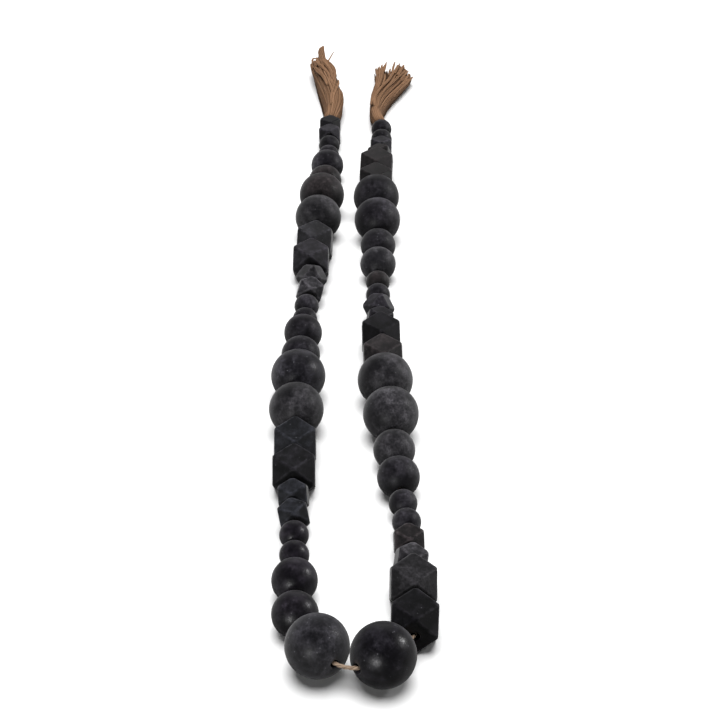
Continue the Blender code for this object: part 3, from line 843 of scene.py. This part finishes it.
def new_lock(tuft, ends, column, row, chance):
    """A lock; the low ones stay together, loose and darkened with painted shade, and the others
    part.
    """
    a = -1 + (column + 0.5 + chance.uniform(-LOCK_STRAY, LOCK_STRAY)) * 2 / tuft.across
    b = -1 + (row + 0.5 + chance.uniform(-LOCK_STRAY, LOCK_STRAY)) * 2 / tuft.up
    length = row_at(ends, a)[1] + chance.uniform(-1, 1) * tuft.spread
    wave = chance.uniform(0, 2 * math.pi)
    sway = chance.uniform(*LOCK_SWAY)
    tone = chance.uniform(*LOCK_TONE)
    # Painted shade: the low locks are darker.
    if b < PARTED:
        return Lock(a, b, length, 0.0, wave, sway, tone * LOW_LOCKS_PAINTED_SHADE, LOOSE, LOOSE)
    side = math.copysign(PARTING, a + SPLIT_AT)
    return Lock(a, b, length, side, wave, sway, tone, tuft.root, tuft.tip)


def lock_strand(lie, tuft, lock, strand, chance):
    """One strand of a lock, whose end may fold back over it."""
    angle = 2 * math.pi * strand / tuft.strands + chance.uniform(-STRAND_STRAY, STRAND_STRAY)
    reach = chance.uniform(*STRAND_REACH)
    length = lock.length + chance.uniform(-1, 1) * tuft.spread * STRAND_SPREAD
    points = []
    for i in range(STRAND_POINTS):
        t = i / (STRAND_POINTS - 1)
        width = lock.root + (lock.tip - lock.root) * t**LOCK_NARROWS
        a = lock.a + reach * width * math.cos(angle + LOCK_TWIST * t) / tuft.across
        b = lock.b + reach * width * math.sin(angle + LOCK_TWIST * t) / tuft.up
        a += lock.sway * t * math.sin(SWAY_ACROSS * t + lock.wave)
        b += lock.sway * t * math.cos(SWAY_UP * t + lock.wave)
        run = (length + HEAD + tuft.fold) * (1 - (1 - t)**TIP_CROWDING)
        back = max(run - length - HEAD, 0.0)
        run -= 2 * back
        b += FOLD_RISE * back
        a = max(-SIDE_MOST, min(SIDE_MOST, a))
        b = max(-LOW_MOST, min(HIGH_MOST, b))
        place = tassel_place(lie, a, b, -HEAD + run, lock.side)
        place.z = max(place.z, STRAND_RADIUS)
        thickness = LOCK_STRAND.thick - LOCK_STRAND.thinner * t**STRAND_THINS
        points.append((place, STRAND_RADIUS * thickness))
    # Painted shade: strands at the outside of a lock are darker, and lock.tone holds the low locks'
    # painted shade.
    return lock.tone * (LOCK_STRAND.tone - LOCK_STRAND.darker * reach**OUTSIDE_PAINTED_SHADE), points


def wisp_strands(lie, wisp):
    """The strands of one wisp, gathered at both ends."""
    rows = [(i, *point) for i, point in enumerate(wisp.points)]
    centre = []
    for i in range(WISP_POINTS):
        _, along, across, height = row_at(rows, i * (len(rows) - 1) / (WISP_POINTS - 1))
        centre.append(Vector((lie.shift + across, lie.base + along, height)))
    strands = []
    for strand in range(wisp.strands):
        reach = math.sqrt((strand + 0.5) / wisp.strands)
        points = []
        for i, place in enumerate(centre):
            t = i / (WISP_POINTS - 1)
            way = (centre[min(i + 1, WISP_POINTS - 1)] - centre[max(i - 1, 0)]).normalized()
            beside = way.cross(UP).normalized()
            opened = min(1.0, WISP_ROOT + WISP_OPENS * t)
            closed = 1.0 - WISP_CLOSES * t**WISP_CLOSES_LATE
            width = wisp.width * reach * opened * closed
            turn = strand * WISP_ANGLE + WISP_TWIST * t
            spot = place + beside * math.cos(turn) * width
            spot += Vector((0, 0, math.sin(turn) * width * WISP_FLATNESS))
            points.append((spot, STRAND_RADIUS * (WISP_STRAND.thick - WISP_STRAND.thinner * t)))
        # Painted shade: strands at the outside of a wisp are darker.
        tone = wisp.tone * (WISP_STRAND.tone - WISP_STRAND.darker * reach**OUTSIDE_PAINTED_SHADE)
        strands.append((tone, points))
    return strands


def new_material(name):
    """A material, its node tree and its shader."""
    material = bpy.data.materials.new(name)
    material.use_nodes = True
    tree = material.node_tree
    return material, tree, tree.nodes["Principled BSDF"]


def feed(tree, socket, value):
    """Give a socket a value or the output of another node."""
    if isinstance(value, bpy.types.NodeSocket):
        tree.links.new(value, socket)
    else:
        socket.default_value = value


def add(tree, kind, inputs, **settings):
    """A shader node; each input is a value or the output of another node."""
    made = tree.nodes.new(kind)
    for key, value in settings.items():
        setattr(made, key, value)
    for key, value in inputs.items():
        feed(tree, made.inputs[key], value)
    return made


def attribute(tree, name, output):
    """What an attribute of the piece's surface holds."""
    return add(tree, "ShaderNodeAttribute", {}, attribute_name=name).outputs[output]


def colour(rgb):
    """A colour as a socket takes it."""
    return (*rgb, 1.0)


def paler(rgb, factor):
    """A colour made paler by a factor."""
    return colour([factor * value for value in rgb])


def grown(growing, amount):
    """What grows with a column of the finish, at that column's value."""
    return growing.least + growing.more * amount


def times(tree, first, second):
    """The product of two values."""
    return add(tree, "ShaderNodeMath", {0: first, 1: second}, operation="MULTIPLY").outputs[0]


def plus(tree, first, second):
    """The sum of two values, 1 at most."""
    made = add(tree, "ShaderNodeMath", {0: first, 1: second}, operation="ADD", use_clamp=True)
    return made.outputs[0]


def drawn(tree, place, factors):
    """A place whose pattern is drawn out by unlike factors along the three axes."""
    made = add(tree, "ShaderNodeVectorMath", {0: place, 1: factors}, operation="MULTIPLY")
    return made.outputs[0]


def scaled(tree, tone, factor):
    """A colour made lighter or darker by a factor."""
    made = add(tree, "ShaderNodeVectorMath", {0: tone, "Scale": factor}, operation="SCALE")
    return made.outputs[0]


def blend(tree, factor, first, second):
    """A colour between two others."""
    sockets = dict(zip(MIX_INPUTS, (factor, first, second)))
    mix = add(tree, "ShaderNodeMix", sockets, data_type="RGBA", blend_type="MIX")
    return mix.outputs[MIX_OUTPUT]


def mottled(tree, place, mottle):
    """A noise that fades in from 0 at its low level to 1 at its high one."""
    cloud = add(tree, "ShaderNodeTexNoise", {
        "Vector": place, "Scale": mottle.scale, "Detail": mottle.detail,
        "Roughness": MOTTLE_ROUGHNESS,
    })
    fade = add(tree, "ShaderNodeMapRange", {
        "Value": cloud.outputs["Fac"], "From Min": mottle.low, "From Max": mottle.high,
    })
    return fade.outputs["Result"]


def broken(tree, pattern):
    """A pattern whose gaps still let some of the chalk through."""
    return plus(tree, times(tree, pattern, CHALK_BROKEN), 1 - CHALK_BROKEN)


def specked(tree, place, tone, specks, amount):
    """A colour with small round specks on it."""
    size = grown(specks.size, amount)
    cells = add(tree, "ShaderNodeTexVoronoi", {"Vector": place, "Scale": specks.scale})
    speck = add(tree, "ShaderNodeMapRange", {
        "Value": cells.outputs["Distance"], "From Min": size, "From Max": size * SPECK_CORE,
    })
    share = {0: cells.outputs["Color"], 1: grown(specks.share, amount)}
    chosen = add(tree, "ShaderNodeMath", share, operation="LESS_THAN")
    shown = times(tree, speck.outputs["Result"], chosen.outputs[0])
    return blend(tree, times(tree, shown, specks.strength), tone, colour(specks.colour))


def raised(tree, pattern, relief):
    """The normal of a surface that a pattern raises."""
    settings = {"Height": pattern, "Strength": relief.strength, "Distance": relief.height}
    return add(tree, "ShaderNodeBump", settings).outputs["Normal"]


def wood(name, finish):
    """Wood stained near black, rubbed to chalk in patches and along its edges."""
    material, tree, shader = new_material(name)
    grain = attribute(tree, "grain", "Vector")
    level = PATCH_LEVEL - PATCH_GROWTH * finish.rubbed
    levels = PATCHES._replace(low=level + PATCHES.low, high=level + PATCHES.high)
    patches = mottled(tree, grain, levels)
    clouds = mottled(tree, grain, CLOUDS)
    dusting = mottled(tree, grain, DUSTING)
    streaks = mottled(tree, drawn(tree, grain, STREAKS_DRAWN), STREAKS)
    scuffs = mottled(tree, drawn(tree, grain, SCUFFS_DRAWN), SCUFFS)
    cover = times(tree, patches, broken(tree, clouds))
    cover = plus(tree, cover, times(tree, clouds, CLOUD_CHALK))
    cover = times(tree, cover, broken(tree, dusting))
    cover = plus(tree, cover, times(tree, streaks, grown(STREAK_CHALK, finish.rubbed)))
    cover = plus(tree, cover, times(tree, scuffs, grown(SCUFF_CHALK, finish.rubbed)))
    tone = blend(tree, cover, colour(finish.stain), colour(finish.chalk))
    wear = attribute(tree, "wear", "Fac")
    rubbed_edge = times(tree, times(tree, wear, clouds), EDGE_CHALK)
    tone = blend(tree, rubbed_edge, tone, paler(finish.chalk, EDGE_PALER))
    for specks in (COARSE_SPECKS, FINE_SPECKS):
        tone = specked(tree, grain, tone, specks, finish.specks)
    # Each bead's lightness, partly its own tone and partly painted shade, scales its colour.
    shade = attribute(tree, "shade", "Fac")
    feed(tree, shader.inputs["Base Color"], scaled(tree, tone, shade))
    rough = add(tree, "ShaderNodeMapRange", {
        "Value": cover, "To Min": finish.roughness, "To Max": finish.roughness + CHALK_ROUGHER,
    })
    feed(tree, shader.inputs["Roughness"], rough.outputs["Result"])
    shader.inputs["Specular IOR Level"].default_value = grown(GLOSS, finish.wax)
    shader.inputs["Sheen Weight"].default_value = grown(SHEEN, finish.rubbed)
    shader.inputs["Sheen Roughness"].default_value = SHEEN_ROUGHNESS
    shader.inputs["Coat Weight"].default_value = finish.wax
    shader.inputs["Coat Roughness"].default_value = WAX_ROUGHNESS
    shader.inputs["Coat IOR"].default_value = WAX_IOR
    ridges = times(tree, streaks, WOOD_RELIEF_SHARE)
    pattern = plus(tree, ridges, times(tree, dusting, WOOD_RELIEF_SHARE))
    normal = raised(tree, pattern, WOOD_RELIEF)
    feed(tree, shader.inputs["Normal"], normal)
    feed(tree, shader.inputs["Coat Normal"], normal)
    return material


def jute(name, colours):
    """Jute: fine fibres along each strand, painted paler as their sheen, and strands of unlike
    tone.
    """
    material, tree, shader = new_material(name)
    fibre = attribute(tree, "fibre", "Vector")
    along = drawn(tree, fibre, FIBRES_DRAWN)
    fibres = mottled(tree, along, FIBRES)
    strands = mottled(tree, along, STRAND_TONES)
    lengths = mottled(tree, fibre, DARK_LENGTHS)
    tone = blend(tree, strands, colour(colours.dark), colour(colours.pale))
    # Painted sheen along the fine fibres.
    painted_fibre_sheen = paler(colours.pale, FIBRE_SHEEN_PALER)
    tone = blend(tree, times(tree, fibres, FIBRE_SHEEN_STRENGTH), tone, painted_fibre_sheen)
    tone = blend(tree, times(tree, lengths, DARK_STRENGTH), tone, colour(colours.dark))
    # Each strand's tone, which on the tassels holds painted shade, scales the colour.
    own = attribute(tree, "tone", "Fac")
    feed(tree, shader.inputs["Base Color"], scaled(tree, tone, own))
    shader.inputs["Roughness"].default_value = JUTE_ROUGHNESS
    shader.inputs["Specular IOR Level"].default_value = JUTE_GLOSS
    feed(tree, shader.inputs["Normal"], raised(tree, fibres, JUTE_RELIEF))
    return material


def matt_floor():
    """The floor's pale, matt surface."""
    material, _, shader = new_material("floor")
    shader.inputs["Base Color"].default_value = colour(FLOOR)
    shader.inputs["Roughness"].default_value = FLOOR_ROUGHNESS
    return material


def studio():
    """A pale floor, white surroundings, three softboxes and an even light from above."""
    bm = bmesh.new()
    bmesh.ops.create_grid(bm, x_segments=1, y_segments=1, size=FLOOR_REACH)
    floor = bpy.data.objects.new("floor", mesh_from("floor", bm))
    bpy.context.scene.collection.objects.link(floor)
    floor.data.materials.append(matt_floor())
    floor.visible_glossy = False
    world = bpy.data.worlds.new("surroundings")
    bpy.context.scene.world = world
    world.use_nodes = True
    background = world.node_tree.nodes["Background"]
    background.inputs["Color"].default_value = colour(WHITE)
    background.inputs["Strength"].default_value = SURROUNDINGS
    world.cycles_visibility.diffuse = False
    world.cycles_visibility.glossy = False
    for name, softbox in SOFTBOXES.items():
        data = bpy.data.lights.new(name, "AREA")
        data.size = softbox.width
        data.energy = softbox.power
        hang(name, data, softbox.toward, softbox.distance)
    data = bpy.data.lights.new("overhead", "SUN")
    data.energy = OVERHEAD
    data.angle = OVERHEAD_SPREAD
    hang("overhead", data, OVERHEAD_TOWARD, OVERHEAD_DISTANCE).visible_glossy = False
    bpy.context.scene.view_settings.view_transform = "Standard"


def hang(name, data, toward, distance):
    """A lamp that points at the garland."""
    lamp = bpy.data.objects.new(name, data)
    way = Vector(toward).normalized()
    lamp.location = way * distance
    lamp.rotation_euler = way.to_track_quat("Z", "Y").to_euler()
    bpy.context.scene.collection.objects.link(lamp)
    return lamp


def main():
    """The whole garland, in the studio."""
    nodes = bead_nodes()
    camera(box_middle(nodes[LAST_LEFT]))
    rough_middles = {bead: box_middle(node) for bead, node in sorted(nodes.items())}
    ways = string_ways(rough_middles, nodes)
    middles = {}
    for bead, node in sorted(nodes.items()):
        middles[bead] = true_middle(node, turned(ways[bead], slip_of(bead).roll))
    ways = string_ways(middles, nodes)
    lay_string(nodes, middles, ways, jute("twine", TWINE_JUTE))
    tassel_jute = jute("tassel_jute", TASSEL_JUTE)
    for node, tassel in TASSELS.items():
        lay_tassel(node, tassel, tassel_jute)
    woods = {name: wood(name + "_wood", finish) for name, finish in FINISHES.items()}
    lay_beads(nodes, middles, ways, woods)
    studio()


main()
